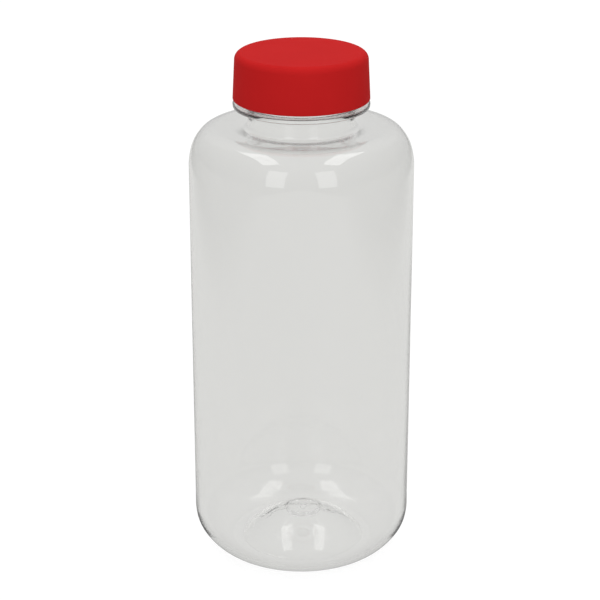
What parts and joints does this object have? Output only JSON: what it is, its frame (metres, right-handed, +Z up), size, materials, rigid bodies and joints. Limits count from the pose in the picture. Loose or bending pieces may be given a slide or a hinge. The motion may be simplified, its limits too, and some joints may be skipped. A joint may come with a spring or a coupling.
{
  "type": "wide-mouth screw-cap bottle",
  "caption": "Clear round wide-mouth plastic bottle with a smooth red screw cap over a foam liner, a support ring under the cap and a pushed-up base.",
  "frame": {"origin": "centre of the standing ring, on the surface the bottle stands on", "axes": "+Z up along the bottle's axis, towards the cap"},
  "size_m": [0.09, 0.09, 0.2125],
  "materials": {
    "clear_pet": "gloss",
    "red_pp": "satin",
    "white_foam": "matte"
  },
  "bodies": {
    "bottle": {"bottle": "clear_pet"},
    "liner": {"cap_liner": "white_foam"},
    "cap": {"screw_cap": "red_pp"}
  },
  "joints": [
    {"name": "cap_rise", "type": "slide", "parent": "bottle", "child": "liner", "axis": [0, 0, 1], "range_m": [0, 0.018]},
    {"name": "cap_turn", "type": "hinge", "parent": "liner", "child": "cap", "pos_m": [0, 0, 0.1938], "axis": [0, 0, 1], "range_deg": [0, 1440]}
  ],
  "couplings": [
    {"joint": "cap_rise", "follows": "cap_turn", "m_per_rad": 0.0007162}
  ]
}
